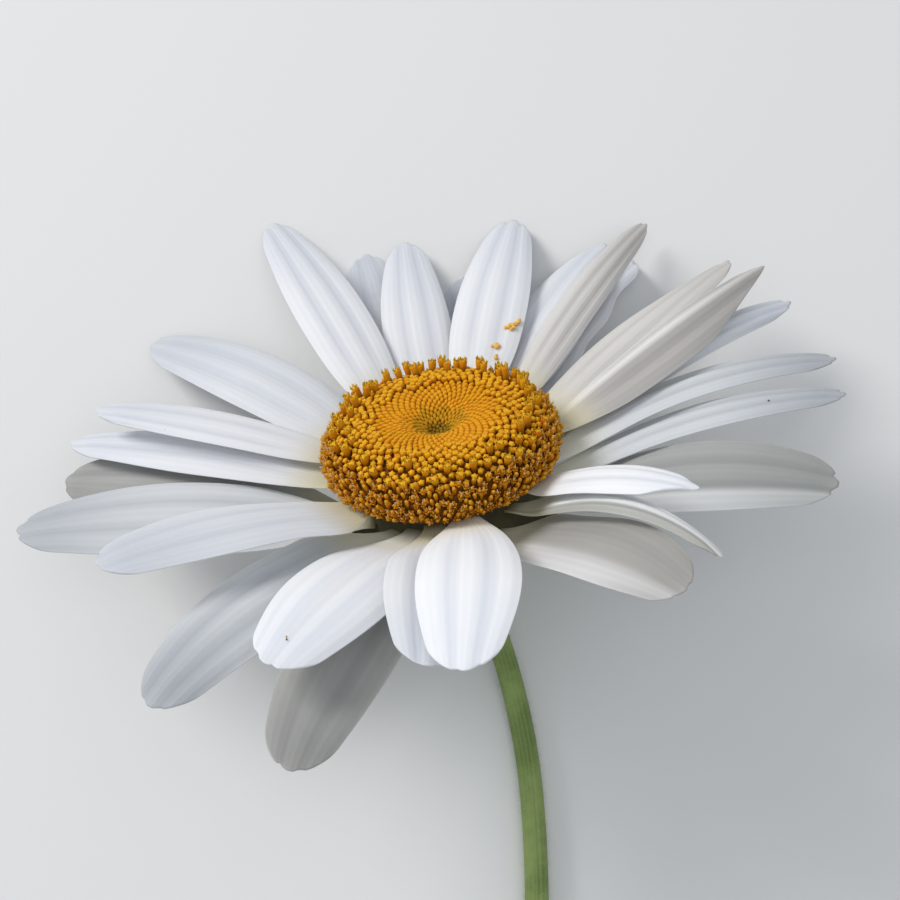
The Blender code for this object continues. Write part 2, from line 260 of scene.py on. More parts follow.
# The veins wander a little to the sides, and a fine grain lies over them.
drift = noise_node(vein_group, place, 120.0, 2.0)
drift = math_node(vein_group, "SUBTRACT", drift, 0.5)
drift = math_node(vein_group, "MULTIPLY", drift, vein_in.outputs["Wander"])
lines = math_node(vein_group, "MULTIPLY", across, vein_in.outputs["Vein Count"])
lines = math_node(vein_group, "ADD", lines, drift)
lines = math_node(vein_group, "MULTIPLY", lines, math.tau)
lines = math_node(vein_group, "COSINE", lines)
lines = math_node(vein_group, "MULTIPLY_ADD", lines, 0.5, 0.5)
lines = math_node(vein_group, "POWER", lines, 1.6)
grain = noise_node(vein_group, place, 2600.0, 3.0, 0.6)
height = math_node(vein_group, "MULTIPLY_ADD", grain, 0.25, lines)
vein_group.links.new(height, vein_out.inputs["Height"])

# The two valleys lie a third of the way in from each side; the finishes paint shade in them.
side = math_node(vein_group, "ABSOLUTE", math_node(vein_group, "SUBTRACT", across, 0.5))
valley = math_node(vein_group, "ABSOLUTE", math_node(vein_group, "SUBTRACT", side, 0.18))
valley = ease_node(vein_group, valley, 0.13, 0.0)
valley = math_node(vein_group, "MULTIPLY", valley, ease_node(vein_group, along, 0.12, 0.4))
vein_group.links.new(valley, vein_out.inputs["Groove"])
# Claw marks the cream claw; Tip marks where the finishes paint shade towards the tip; Foot marks where they
# paint olive shade under the disc.
vein_group.links.new(ease_node(vein_group, along, 0.27, 0.08), vein_out.inputs["Claw"])
vein_group.links.new(ease_node(vein_group, along, 0.5, 1.0), vein_out.inputs["Tip"])
vein_group.links.new(noise_node(vein_group, place, 240.0, 3.0), vein_out.inputs["Mottle"])
vein_group.links.new(across, vein_out.inputs["Across"])
vein_group.links.new(ease_node(vein_group, along, 0.045, -0.03), vein_out.inputs["Foot"])
print("petal effect:", len(vein_group.nodes), "nodes")

# %% [markdown]
# ## Petal finishes
#
# The plain petals are clean white; every other petal finish is a lit or shaded copy of
# that white.  The petals that face the light get a brighter white, painted light.  Those at
# the sides get a lilac grey or a grey that darkens towards their tips, and the lowest ones
# a neutral or warm grey, all painted shade.  A few that turn over have a painted lit side
# or edge beside a painted shaded side.  In every finish the valleys and the tips carry
# painted shade, the foot of the claw a painted olive shade under the disc, and on some
# petals the claw is paler, painted light against the shadow of the disc.  One flat colour
# would look like paper, so one function mixes each finish from a few tones and the masks
# of the vein effect.  Light also goes a little way into the thin tissue, which softens the
# shade in the valleys; a small subsurface radius does that.

# %% Helpers for finishes


def shader_of(material):
    material.use_nodes = True
    return material.node_tree, material.node_tree.nodes["Principled BSDF"]


def new_finish(name, effect, values):
    """A new material with an effect in it: the material, its tree, its shader and the masks."""
    made = bpy.data.materials.new(name)
    tree, shader = shader_of(made)
    marks = tree.nodes.new("ShaderNodeGroup")
    marks.node_tree = effect
    for label, value in values.items():
        marks.inputs[label].default_value = value
    return made, tree, shader, marks.outputs


def add_bump(tree, shader, height, strength, depth):
    """Let a height shade the surface as if it stood up by depth, in metres."""
    bump = tree.nodes.new("ShaderNodeBump")
    bump.inputs["Strength"].default_value = strength
    bump.inputs["Distance"].default_value = depth
    join(tree, height, bump.inputs["Height"])
    join(tree, bump.outputs["Normal"], shader.inputs["Normal"])


def tinted(tree, tone, mask, most, colour):
    """A tone with a colour mixed over it where a mask is bright, by at most a given share."""
    return mix_node(tree, math_node(tree, "MULTIPLY", mask, most), tone, (*colour, 1))


def let_light_in(shader, share, colours, depth):
    """Light that goes into soft tissue: its share, how far each colour goes, and the depth."""
    shader.inputs["Subsurface Weight"].default_value = share
    shader.inputs["Subsurface Radius"].default_value = colours
    shader.inputs["Subsurface Scale"].default_value = depth


print("finish helpers: shader_of, new_finish, add_bump, tinted, let_light_in")

# %% How a petal finish is mixed
# Painted olive shade at the foot of each claw, where it goes under the disc.
OLIVE_FOOT_SHADE = (0.20, 0.16, 0.045)
VEIN_DEPTH = 0.00003
TISSUE_DEPTH = 0.0006


def petal_finish(name, body, valley, claw, tip_shade, veins=11, wander=0.35, band=None):
    """A finish from three tones, whose valley tone is painted shade; band is a painted lit tone and the two
    places across that it fades between.
    """
    made, tree, shader, marks = new_finish(name, vein_group, {"Vein Count": veins, "Wander": wander})
    tone = (*body, 1)
    if band:
        tone = mix_node(tree, ease_node(tree, marks["Across"], *band[1:]), tone, (*band[0], 1))
    # Painted shade: the valley tone darkens the valleys, the low lines between the veins and the tips; then
    # the claw tone, and a painted olive shade at the foot of the claw.
    tone = tinted(tree, tone, marks["Groove"], 0.32, valley)
    tone = tinted(tree, tone, math_node(tree, "SUBTRACT", 1.0, marks["Height"]), 0.09, valley)
    tone = tinted(tree, tone, marks["Tip"], tip_shade, valley)
    tone = tinted(tree, tone, marks["Claw"], 0.8, claw)
    tone = tinted(tree, tone, marks["Foot"], 0.85, OLIVE_FOOT_SHADE)
    join(tree, tone, shader.inputs["Base Color"])
    join(tree, ease_node(tree, marks["Mottle"], 0.3, 0.7, 0.48, 0.62), shader.inputs["Roughness"])
    shader.inputs["Specular IOR Level"].default_value = 0.35
    let_light_in(shader, 0.35, (1.0, 0.95, 0.85), TISSUE_DEPTH)
    add_bump(tree, shader, marks["Height"], 0.35, VEIN_DEPTH)
    return made


print("a petal's claw fades to olive", OLIVE_FOOT_SHADE)

# %% Petal finishes
CREAM = (0.66, 0.61, 0.38)
# The plain white; its valley tone is painted shade in the valleys and towards the tip.
WHITE = dict(body=(0.77, 0.78, 0.80), valley=(0.47, 0.50, 0.59), claw=CREAM, tip_shade=0.4)
# A paler claw tone: painted light where the disc would shade the claw.
CLAW_PAINTED_LIGHT = (0.84, 0.81, 0.66)

# A finish takes from WHITE what it doesn't name itself.
# Each finish but clear is a lit or shaded copy of the same white: a brighter body is painted light, greyer
# bodies are painted shade, a band is a painted lit side, and a paler claw is painted light.
PETAL_TONES = {
    "lit_white": dict(body=(0.87, 0.88, 0.90), valley=(0.56, 0.60, 0.70), claw=CLAW_PAINTED_LIGHT, tip_shade=0.22),
    "clear": dict(),
    "lilac_shade": dict(body=(0.69, 0.71, 0.74), valley=(0.40, 0.43, 0.50), tip_shade=0.45, veins=12),
    "warm_shade": dict(body=(0.63, 0.61, 0.59), valley=(0.37, 0.35, 0.33), veins=12),
    "fading_shade": dict(
        body=(0.64, 0.66, 0.68), valley=(0.33, 0.35, 0.385), claw=(0.88, 0.86, 0.72), tip_shade=0.75
    ),
    "shade": dict(
        body=(0.42, 0.42, 0.40), valley=(0.22, 0.22, 0.22), claw=(0.50, 0.48, 0.34), tip_shade=0.5, veins=10
    ),
    # Painted shade with a painted lit upper part.
    "turned": dict(
        body=(0.42, 0.42, 0.39),
        valley=(0.26, 0.26, 0.24),
        claw=(0.52, 0.49, 0.32),
        tip_shade=0.1,
        veins=12,
        wander=0.5,
        band=((0.96, 0.96, 0.96), 0.30, 0.44),
    ),
    # Painted shade with a painted lit band along one side.
    "shade_with_lit_band": dict(
        body=(0.38, 0.39, 0.38),
        valley=(0.21, 0.22, 0.21),
        claw=(0.50, 0.47, 0.32),
        veins=10,
        band=((0.62, 0.63, 0.63), 0.34, 0.22),
    ),
    # Painted shade with a painted lit side.
    "shade_with_lit_side": dict(
        body=(0.48, 0.46, 0.44),
        valley=(0.27, 0.25, 0.24),
        veins=12,
        wander=0.5,
        band=((0.76, 0.75, 0.73), 0.46, 0.58),
    ),
    # Painted shade with a painted lit band, and a paler claw as painted light.
    "folded": dict(
        body=(0.38, 0.37, 0.35),
        valley=(0.24, 0.23, 0.22),
        claw=(0.70, 0.66, 0.50),
        veins=10,
        wander=0.5,
        band=((0.64, 0.63, 0.63), 0.40, 0.26),
    ),
}
petal_finishes = {}
for name, own_tones in PETAL_TONES.items():
    petal_finishes[name] = petal_finish("petal_" + name, **{**WHITE, **own_tones})
print("petal finishes:", ", ".join(petal_finishes))

# %% [markdown]
# ## The form of a petal
#
# Each petal is a sheet swept along a middle line that leaves level under the disc, rises
# and then falls towards its tip.  A grid moved point by point keeps full control over
# roll, twist, valleys and the notched tip, which a subdivided cage would blur.

# %% Helpers for curves


def smooth(x, start, end):
    """Ease from 0 at start to 1 at end."""
    s = np.clip((np.asarray(x, float) - start) / (end - start), 0, 1)
    return s * s * (3 - 2 * s)


def hump(x, middle, spread):
    """A smooth hump of height 1."""
    return np.exp(-((x - middle) / spread) ** 2)


def pointing(course, pitch):
    """Directions of length 1 from a compass course and a pitch, both in radians."""
    return np.stack([np.cos(pitch) * np.cos(course), np.cos(pitch) * np.sin(course), np.sin(pitch)], -1)


print("half way up a smooth step:", smooth(0.5, 0, 1), "and on top of a hump:", hump(0.0, 0.0, 1.0))

# %% The middle line and outline of a petal
CLAW_RADIUS = 9.0
CLAW_TOP = -0.5
CLAW_REACH = 0.9
CLAW_PITCH = 3.0
CLAW_HALF_WIDTH = 1.0
LAYER_STEP = 0.9
LINE_STEPS = 160
RISES_WITHIN = 0.18
CLAW_OPENS = 0.16
WAIST = 0.82
BELLY = 0.18
TIP_NARROWS = 0.38


def half_width(t, width):
    """Half the width of a petal at share t of its length."""
    grown = 1 - np.exp(-(np.maximum(t, 0) / CLAW_OPENS) ** 1.4)
    body = WAIST + BELLY * np.sin(np.pi * np.clip(t / 0.95, 0, 1))
    body = body * (1 - TIP_NARROWS * np.clip(2 * t - 1, 0, 1) ** 2.2)
    return CLAW_HALF_WIDTH + (width / 2 * body - CLAW_HALF_WIDTH) * grown


def petal_line(azimuth, heading, swing, rise, tip, length, layer):
    """The middle line from claw to tip: shares of its length, points, course and pitch."""
    t = np.linspace(0, 1, LINE_STEPS + 1)
    course = np.radians(azimuth + heading + swing * t)
    lifted = smooth(t, 0.0, RISES_WITHIN)
    pitch = np.radians((rise + (tip - rise) * t) * lifted + CLAW_PITCH * (1 - lifted))
    ahead = pointing(course, pitch)
    claw = np.radians(azimuth)
    start = (CLAW_RADIUS * math.cos(claw), CLAW_RADIUS * math.sin(claw), CLAW_TOP - LAYER_STEP * layer)
    steps = (ahead[1:] + ahead[:-1]) / 2 * length / LINE_STEPS
    return t, np.vstack([start, start + np.cumsum(steps, 0)]), course, pitch


print("half widths of a petal 8 mm wide:", np.round(half_width(np.linspace(0, 1, 6), 8.0), 1))

# %% The sheet of a petal
PETAL_ROWS = 64
PETAL_COLUMNS = 25
TIP_ROUND = 0.12
ROWS_CROWD = 1.15
PETAL_CROWN = 0.6
RIDGE_HEIGHT = 0.16
VALLEY_DEPTH = 0.34
VALLEY_PLACE = 0.36
NOTCH_PLACE = 0.34
SHOULDER_PLACE = 0.16
FRILLS = 22
FINE_RIBS = 19
FINE_RIB_HEIGHT = 0.010


def petal_sheet(petal, look):
    """Middle surface, facing direction, and shares across and along, in the head's frame."""
    length, width, roll, twist = petal[5:9]
    t, line, course, pitch = petal_line(*petal[:6], petal[9])
    claw_ahead = pointing(course[0], pitch[0])

    # A grid along and across, that ends in a round, pointed or notched tip.
    v = np.sin(np.linspace(-1, 1, PETAL_COLUMNS) * np.pi / 2)[None, :]
    u = (1 - (1 + CLAW_REACH / length) * (1 - np.linspace(0, 1, PETAL_ROWS)) ** ROWS_CROWD)[:, None]
    notches = look["notch"] * hump(np.abs(v + look["lean"]), NOTCH_PLACE, 0.11)
    ending = TIP_ROUND * (1 - np.sqrt(1 - v ** 2)) + look["pointed"] * np.abs(v) ** 1.5
    share = u * (1 - ending - notches * smooth(u, 0.7, 1.0))

    # The middle line, and the directions sideways and outwards, rolled and twisted.
    middle = np.stack([np.interp(share, t, line[:, axis]) for axis in range(3)], -1)
    middle += np.minimum(share, 0)[..., None] * length * claw_ahead
    course = np.interp(share, t, course)
    along = pointing(course, np.interp(share, t, pitch))
    across = np.stack([-np.sin(course), np.cos(course), np.zeros_like(course)], -1)
    upward = np.cross(along, across)
    angle = np.radians(roll * smooth(share, 0, 0.35) + twist * smooth(share, 0.15, 1.0))[..., None]
    side = across * np.cos(angle) + upward * np.sin(angle)
    face = upward * np.cos(angle) - across * np.sin(angle)

    # How far each point lies to the side.
    half = half_width(share, width)
    left_side = smooth(v, 0.0, 1.0)
    right_side = smooth(-v, 0.0, 1.0)
    left_fold, right_fold = look["folded"]
    folded_in = 1 - left_fold * left_side - right_fold * right_side
    frill = 0.5 + 0.5 * np.sin(FRILLS * share)
    frilled = look["ruffle"] * smooth(-v, 0.3, 1.0) * smooth(share, 0.3, 0.5) * frill
    left_wider, right_wider = look["shoulders"]
    widened = (left_wider * left_side - right_wider * right_side) * hump(share, SHOULDER_PLACE, 0.12)
    reach = v * half * folded_in - frilled + widened

    # How far it stands up or down: valleys, fine ribs, crown, wave and curled edge.
    full = half / (width / 2) * smooth(share, 0, 0.3)
    valleys = VALLEY_DEPTH * hump(np.abs(v + look["lean"]), VALLEY_PLACE, 0.17) * smooth(share, 0.0, 0.4)
    fine_ribs = FINE_RIB_HEIGHT * np.cos(v * FINE_RIBS + look["phase"]) * smooth(share, 0.1, 0.5)
    wave = look["wave"] * np.sin(share * look["waves"] + look["phase"]) * v ** 3
    curl = look["curl"] * smooth(np.abs(v), 0.72, 1.0) * smooth(share, 0.2, 0.6)
    grooves = (RIDGE_HEIGHT - valleys) * look["groove"]
    shape = (grooves + fine_ribs - PETAL_CROWN * v ** 2 + wave - curl) * full
    return middle + side * reach[..., None] + face * shape[..., None], face, v + 0 * u, share


print("points of a petal's sheet:", PETAL_ROWS * PETAL_COLUMNS)

# %% [markdown]
# ## The twenty eight petals
#
# The list gives one line a petal, from the rear left round clockwise: azimuth of its
# claw, heading, further swing, rise, pitch of the tip, length, width, roll, twist and
# how many layers down its claw is.  It is the list that the solids are made from.  A
# second, shorter list says how single petals look: their finish, valleys and edges.

# %% Petal lists
PETALS = (
    (117, -7, 2, 31, 11, 34.0, 7.5, 0, 0, 0.0),
    (102, -3, -2, 20, 6, 29.5, 8.5, 0, 0, 2.4),
    (93, 0, -4, 30, 13, 27.0, 7.5, 2, 2, 1.5),
    (80, 2, 0, 20, 6, 25.5, 7.0, 0, 0, 4.0),
    (70, 4, -3, 27, 6, 30.0, 8.0, 2, 2, 0.0),
    (59, -1, -5, 22, 4, 30.5, 8.0, 4, 2, 1.6),
    (47, 5, -1, 23, 3, 33.0, 4.0, 15, 20, 0.0),
    (40, 28, -24, 21, 2, 32.0, 6.0, -8, -6, 3.8),
    (29, 6, 0, 22, 4, 31.5, 7.0, -2, -18, 1.0),
    (14, 11, 5, 23, 7, 31.0, 7.0, 16, 14, 0.0),
    (11, 32, -26, 18, -3, 35.5, 4.5, 4, 14, 3.5),
    (1, 27, -32, 20, -9, 32.5, 5.5, -8, 7, 2.0),
    (-8, 24, -23, 20, -7, 31.0, 5.0, -8, 11, 3.2),
    (-20, 15, -19, 20, -10, 28.0, 8.0, 12, 19, 4.8),
    (-40, 11, -11, 34, -6, 18.0, 6.0, -5, -10, 0.0),
    (-52, 22, -26, 42, -22, 23.0, 7.0, -5, -34, 1.9),
    (-67, 29, -26, 31, -3, 23.5, 7.5, 8, 18, 3.9),
    (-84, -6, -10, 26, -8, 25.0, 9.0, -4, 4, 0.0),
    (-103, 10, -4, 23, -4, 22.5, 8.0, -15, -4, 1.3),
    (-117, -4, -1, 27, -4, 24.0, 9.5, -6, -6, 2.2),
    (-110, -16, 18, 12, -10, 28.5, 9.0, -4, -14, 4.8),
    (-130, -16, 18, 22, -14, 29.5, 8.5, -15, 0, 3.0),
    (-147, -6, -5, 31, -2, 26.5, 8.0, 5, -12, 0.0),
    (-160, -26, -2, 19, -8, 34.5, 9.0, -15, 2, 3.7),
    (-172, -24, -7, 17, -5, 32.0, 8.5, -20, -12, 4.4),
    (175, -20, 6, 17, -5, 31.5, 7.0, 3, -3, 1.4),
    (161, 1, -4, 22, 1, 28.0, 7.0, 0, 0, 0.0),
    (139, -8, 13, 23, -3, 32.5, 8.0, -6, -8, 1.4),
)
POINTED_TIPS = {6: 0.10, 10: 0.22, 15: 0.15}
LAID_ON_OTHERS = {3: 1.0}
FOLDED_SIDES = {10: (0.6, 0.0), 16: (0.1, 0.5), 27: (0.35, 0.0)}
# Which petals take each lit or shaded copy of the white finish; the rest are clear.
FINISH_OF = {
    "lit_white": (15, 18, 20),
    "lilac_shade": (11, 23, 28),
    "warm_shade": (7, 9),
    "fading_shade": (12, 13, 22, 24),
    "shade": (21, 25),
    "turned": (16,),
    "shade_with_lit_band": (14,),
    "shade_with_lit_side": (10,),
    "folded": (17,),
}
LOOK_OF = {
    1: dict(groove=0.5),
    3: dict(groove=0.45),
    5: dict(notch=0.022, lean=0.05, groove=0.5),
    7: dict(groove=0.4),
    8: dict(ruffle=0.7),
    10: dict(groove=0.9, notch=0.0),
    14: dict(notch=0.016, groove=1.2),
    16: dict(groove=0.5, shoulders=(0.9, 0.0)),
    17: dict(notch=0.012, groove=0.6, shoulders=(1.3, 0.0)),
    18: dict(groove=0.45, notch=0.010),
    20: dict(notch=0.014, lean=0.30, groove=0.7),
    21: dict(groove=0.4),
    22: dict(groove=0.6, shoulders=(0.0, 1.4)),
    23: dict(shoulders=(1.2, 0.0)),
    28: dict(groove=0.9, notch=0.006),
}
print("petals with a finish or a look of their own:", len(set(sum(FINISH_OF.values(), ())) | set(LOOK_OF)))

# %% How each petal looks
chance = np.random.default_rng(7)


def petal_look(petal_number):
    """Edges and valleys of one petal: a little chance first, then what the lists say."""
    look = dict(
        notch=chance.uniform(0.003, 0.012),
        pointed=POINTED_TIPS.get(petal_number, 0.0),
        lean=chance.uniform(-0.15, 0.15),
        wave=chance.uniform(-0.22, 0.22),
        waves=chance.uniform(4.0, 8.0),
        phase=chance.uniform(0, 6.28),
        groove=chance.uniform(0.45, 0.80),
        curl=chance.uniform(0.0, 0.15),
        folded=FOLDED_SIDES.get(petal_number, (0.0, 0.0)),
        ruffle=0.0,
        shoulders=(0.0, 0.0),
    )
    look.update(LOOK_OF.get(petal_number, {}))
    return look


print("folded petals:", list(FOLDED_SIDES), "and pointed ones:", list(POINTED_TIPS))

# %% [markdown]
# ## Building the petals
#
# The real petals are about 0.3 mm thick, so each sheet gets an upper and a lower face
# that come together at the edge.  Where a petal reaches the surface it can't go through
# it, so its lowest points are eased up to lie along it, as real tissue does.

# %% Build the petals
PETAL_HALF_THICK = 0.16
THINS_TO_EDGE = 0.75
THINS_TO_TIP = 0.7
SURFACE_GAP = 0.2
EASING = 0.25
surfaces = {}
for petal_number, petal in enumerate(PETALS, 1):
    sheet, face, v, share = petal_sheet(petal, petal_look(petal_number))
    sheet = to_world(sheet)
    lowest = SURFACE_GAP + LAID_ON_OTHERS.get(petal_number, 0.0)
    sheet[..., 2] = lowest + np.logaddexp(0, (sheet[..., 2] - lowest) / EASING) * EASING
    out = face @ HEAD_TURN.T
    thick = PETAL_HALF_THICK * (1 - THINS_TO_EDGE * np.abs(v) ** 6)
    thick = thick * (1 - THINS_TO_TIP * smooth(share, 0.9, 1.0))
    top = sheet + out * thick[..., None]
    under = sheet - out * thick[..., None]
    surfaces[petal_number] = (top, out, v, share)
    faces = sheet_faces(PETAL_ROWS, PETAL_COLUMNS, flip=True)
    uv = np.stack([v / 2 + 0.5, share], -1).reshape(-1, 2)
    finish = next((name for name, chosen in FINISH_OF.items() if petal_number in chosen), "clear")
    piece(
        "fine_petal_%02d" % petal_number,
        np.vstack([top.reshape(-1, 3), under.reshape(-1, 3)]),
        faces,
        petal_finishes[finish],
        "petal_%02d" % petal_number,
        np.vstack([uv, uv]),
    )
print("petals:", len(PETALS), "of", len(faces), "faces each")

# %% [markdown]
# ## The disc
#
# The yellow disc is a low dome packed with hundreds of tiny flowers, the disc florets.
# They open from the rim inwards: closed buds in the sunk middle, larger buds round it,
# and open florets with five small lobes and a column of anthers at the edge.  Placing
# each one a golden angle on from the last gives the crossing spirals of the real disc.

# %% Where the florets stand
DISC_PROFILE = (
    (0.0, 2.60),
    (0.7, 2.75),
    (1.5, 3.45),
    (2.4, 4.10),
    (3.6, 4.50),
    (5.4, 4.65),
    (7.2, 4.60),
    (8.7, 4.20),
    (9.8, 3.45),
    (10.6, 2.60),
    (10.95, 1.60),
    (10.75, 0.60),
    (10.35, -0.05),
    (9.7, -0.30),
)
DISC_SHIFT = (-0.25, 0.0, 0.0)
FLORETS = 1680
MIDDLE_GAP = 0.43
RIM_WIDER_BY = 0.27
WALL_CLOSER_BY = 0.10
profile = np.array(DISC_PROFILE)
run = np.r_[0, np.cumsum(np.hypot(*np.diff(profile, axis=0).T))]
fine_run = np.linspace(0, run[-2], 400)
radius_at = np.interp(fine_run, run, profile[:, 0])
height_at = np.interp(fine_run, run, profile[:, 1])
gap_at = MIDDLE_GAP + RIM_WIDER_BY * smooth(fine_run, 1.5, 9.0)
gap_at = gap_at - WALL_CLOSER_BY * smooth(fine_run, 10.5, 12.0)
crowd = radius_at / gap_at ** 2
filled = np.r_[0, np.cumsum((crowd[1:] + crowd[:-1]) / 2)]
floret_numbers = np.arange(FLORETS)
stand = np.interp((floret_numbers + 0.5) / FLORETS, filled / filled[-1], fine_run)
golden = floret_numbers * math.pi * (3 - math.sqrt(5))
slope_r = np.interp(stand, fine_run, np.gradient(height_at, fine_run))
slope_z = np.interp(stand, fine_run, np.gradient(radius_at, fine_run))
floret_r = np.interp(stand, fine_run, radius_at)
floret_z = np.interp(stand, fine_run, height_at)
print("florets:", FLORETS, "gap", round(float(gap_at[0]), 2), "to", round(float(gap_at[-1]), 2), "mm")

# %% [markdown]
# ## Kinds of floret
#
# A kind is a small mesh round its own axis, one unit high.  Buds are low knobs with five
# soft corners, and florets that only start to open have upright lobes.  An open floret
# has a tube, five lobes that bend out, and a column of anthers that pushes out a pale
# forked tip; that tip is what makes the wall of the disc look bushy.  One could copy a
# single kind everywhere, but the real disc changes from its middle to its wall.  UVs keep
# the height on the floret and a chance value, so one finish can go from a painted shade
# between the tubes to bright at the lobes and pale at the fork.

# %% Floret kinds


def rings(levels, sides, lobes=0.0):
    """Points and faces of stacked rings: each level is height and radius."""
    points, heights = [], []
    angle = np.arange(sides) * math.tau / sides
    for height, radius in levels:
        r = radius * (1 + lobes * np.cos(5 * angle) * height)
        points.append(np.stack([r * np.cos(angle), r * np.sin(angle), np.full(sides, height)], 1))
        heights += [height] * sides
    faces = list(grid_faces(len(levels), sides, around=True))
    faces.append(list(range((len(levels) - 1) * sides, len(levels) * sides)))
    return np.vstack(points), faces, np.array(heights)


def merged(shapes):
    """Several shapes as one."""
    points, faces, heights, start = [], [], [], 0
    for p, f, h in shapes:
        points.append(p)
        faces += [[i + start for i in face] for face in f]
        heights.append(h)
        start += len(p)
    return np.vstack(points), faces, np.concatenate(heights)


def lobe(angle, foot, bend, tip, half):
    """A pointed lobe: foot, bend and tip are distance out and height, half its half width."""
    c, s = math.cos(angle), math.sin(angle)
    outline = [
        (foot[0], -half, foot[1]),
        (foot[0], half, foot[1]),
        (bend[0], 0.8 * half, bend[1]),
        (bend[0], -0.8 * half, bend[1]),
        (tip[0], 0.0, tip[1]),
        (bend[0], 0.0, bend[1] - half * 0.6),
    ]
    points = np.array([(x * c - y * s, x * s + y * c, z) for x, y, z in outline])
    faces = [[0, 1, 2, 3], [3, 2, 4], [1, 0, 5], [1, 5, 4, 2], [0, 3, 4, 5]]
    return points, faces, points[:, 2]


def five_lobes(foot, bend, tip, half):
    return [lobe(k * math.tau / 5, foot, bend, tip, half) for k in range(5)]


print("faces of a lobe:", len(lobe(0.0, (0.3, 0.8), (0.5, 1.0), (0.6, 0.9), 0.2)[1]))

# %% The five kinds
BUD = rings(((0.0, 0.56), (0.45, 0.58), (0.80, 0.44), (0.98, 0.22), (0.94, 0.08)), 10, 0.10)
RIPE_BUD = rings(((0.0, 0.42), (0.5, 0.47), (0.85, 0.43), (1.0, 0.24), (0.90, 0.08)), 10, 0.22)
tube = rings(((-0.2, 0.24), (0.4, 0.26), (0.72, 0.36), (0.88, 0.40), (0.80, 0.24), (0.6, 0.16)), 8)
column = rings(((0.6, 0.14), (1.0, 0.17), (1.20, 0.15), (1.26, 0.05)), 6)
fork = [lobe(a, (0.02, 1.20), (0.14, 1.42), (0.34, 1.36), 0.07) for a in (0.5, 3.6)]
OPEN = merged([tube, column] + five_lobes((0.32, 0.80), (0.48, 0.96), (0.60, 0.86), 0.17) + fork)
PEG = rings(((-0.2, 0.26), (0.4, 0.33), (0.78, 0.38), (0.95, 0.30), (1.08, 0.10)), 10, 0.22)
throat = ((-0.2, 0.30), (0.4, 0.38), (0.82, 0.47), (0.96, 0.42), (0.92, 0.26), (1.0, 0.10))
OPENING = merged([rings(throat, 10, 0.08)] + five_lobes((0.36, 0.86), (0.46, 1.04), (0.38, 1.18), 0.20))
print("faces of a bud, a ripe bud and an open floret:", len(BUD[1]), len(RIPE_BUD[1]), len(OPEN[1]))

# %% [markdown]
# ## Floret finishes
# On the real disc the bodies of the florets are gold and their lobes bright yellow, with
# a dust of pollen over them.  The dark brown at the foot of each floret, between the tubes,
# is painted shade.  A picture of that would have to be laid on each of so many small
# shapes.  The effect reads the height on the floret, its chance value and a fine noise,
# and each kind of floret mixes its own tones from them.

# %% The floret effect
floret_group, floret_in, floret_out = new_group(
    "floret_masks",
    (("Dust Size", 2200.0),),
    ("Height", "Chance", "Dust"),
)
chance_value, height_value, place = own_directions(floret_group)
dust = noise_node(floret_group, place, floret_in.outputs["Dust Size"], 3.0)
for mask, label in ((chance_value, "Chance"), (height_value, "Height"), (dust, "Dust")):
    floret_group.links.new(mask, floret_out.inputs[label])
print("floret effect:", len(floret_group.nodes), "nodes")

# %% How a floret finish is mixed
BLUSH = (0.62, 0.10, 0.004, 1)
POLLEN = (0.80, 0.44, 0.03, 1)
CREAMY = (0.86, 0.58, 0.26)
DUST_DEPTH = 0.00004
FLORET_DEPTH = 0.0003


def floret_finish(name, foot, body, other, tip, fork_tone=CREAMY, blushing=0.0, dust_size=2200.0):
    """A finish from the tones of the foot, which is painted shade between the tubes, two kinds of body, the
    lobes and the fork.

    blushing is how red the few oldest florets turn.
    """
    made, tree, shader, marks = new_finish(name, floret_group, {"Dust Size": dust_size})
    tone = mix_node(tree, ease_node(tree, marks["Chance"], 0.1, 0.9), (*body, 1), (*other, 1))
    tone = mix_node(tree, ease_node(tree, marks["Chance"], 0.98, 0.985, 0.0, blushing), tone, BLUSH)
    # The dark foot tone is painted shade between the tubes.
    tone = mix_node(tree, ease_node(tree, marks["Height"], 0.15, 0.75), (*foot, 1), tone)
    tone = mix_node(tree, ease_node(tree, marks["Height"], 0.82, 1.0), tone, (*tip, 1))
    tone = mix_node(tree, ease_node(tree, marks["Height"], 1.22, 1.34), tone, (*fork_tone, 1))
    tone = mix_node(tree, ease_node(tree, marks["Dust"], 0.5, 0.75, 0.0, 0.3), tone, POLLEN)
    join(tree, tone, shader.inputs["Base Color"])
    shader.inputs["Roughness"].default_value = 0.6
    shader.inputs["Specular IOR Level"].default_value = 0.1
    let_light_in(shader, 0.15, (1.0, 0.6, 0.2), FLORET_DEPTH)
    add_bump(tree, shader, marks["Dust"], 0.4, DUST_DEPTH)
    return made


print("pollen is", POLLEN)

# %% Floret finishes
GOLD = (0.68, 0.29, 0.005)
DEEP_GOLD = (0.60, 0.22, 0.004)
GAP_SHADE_BROWN = (0.16, 0.055, 0.004)
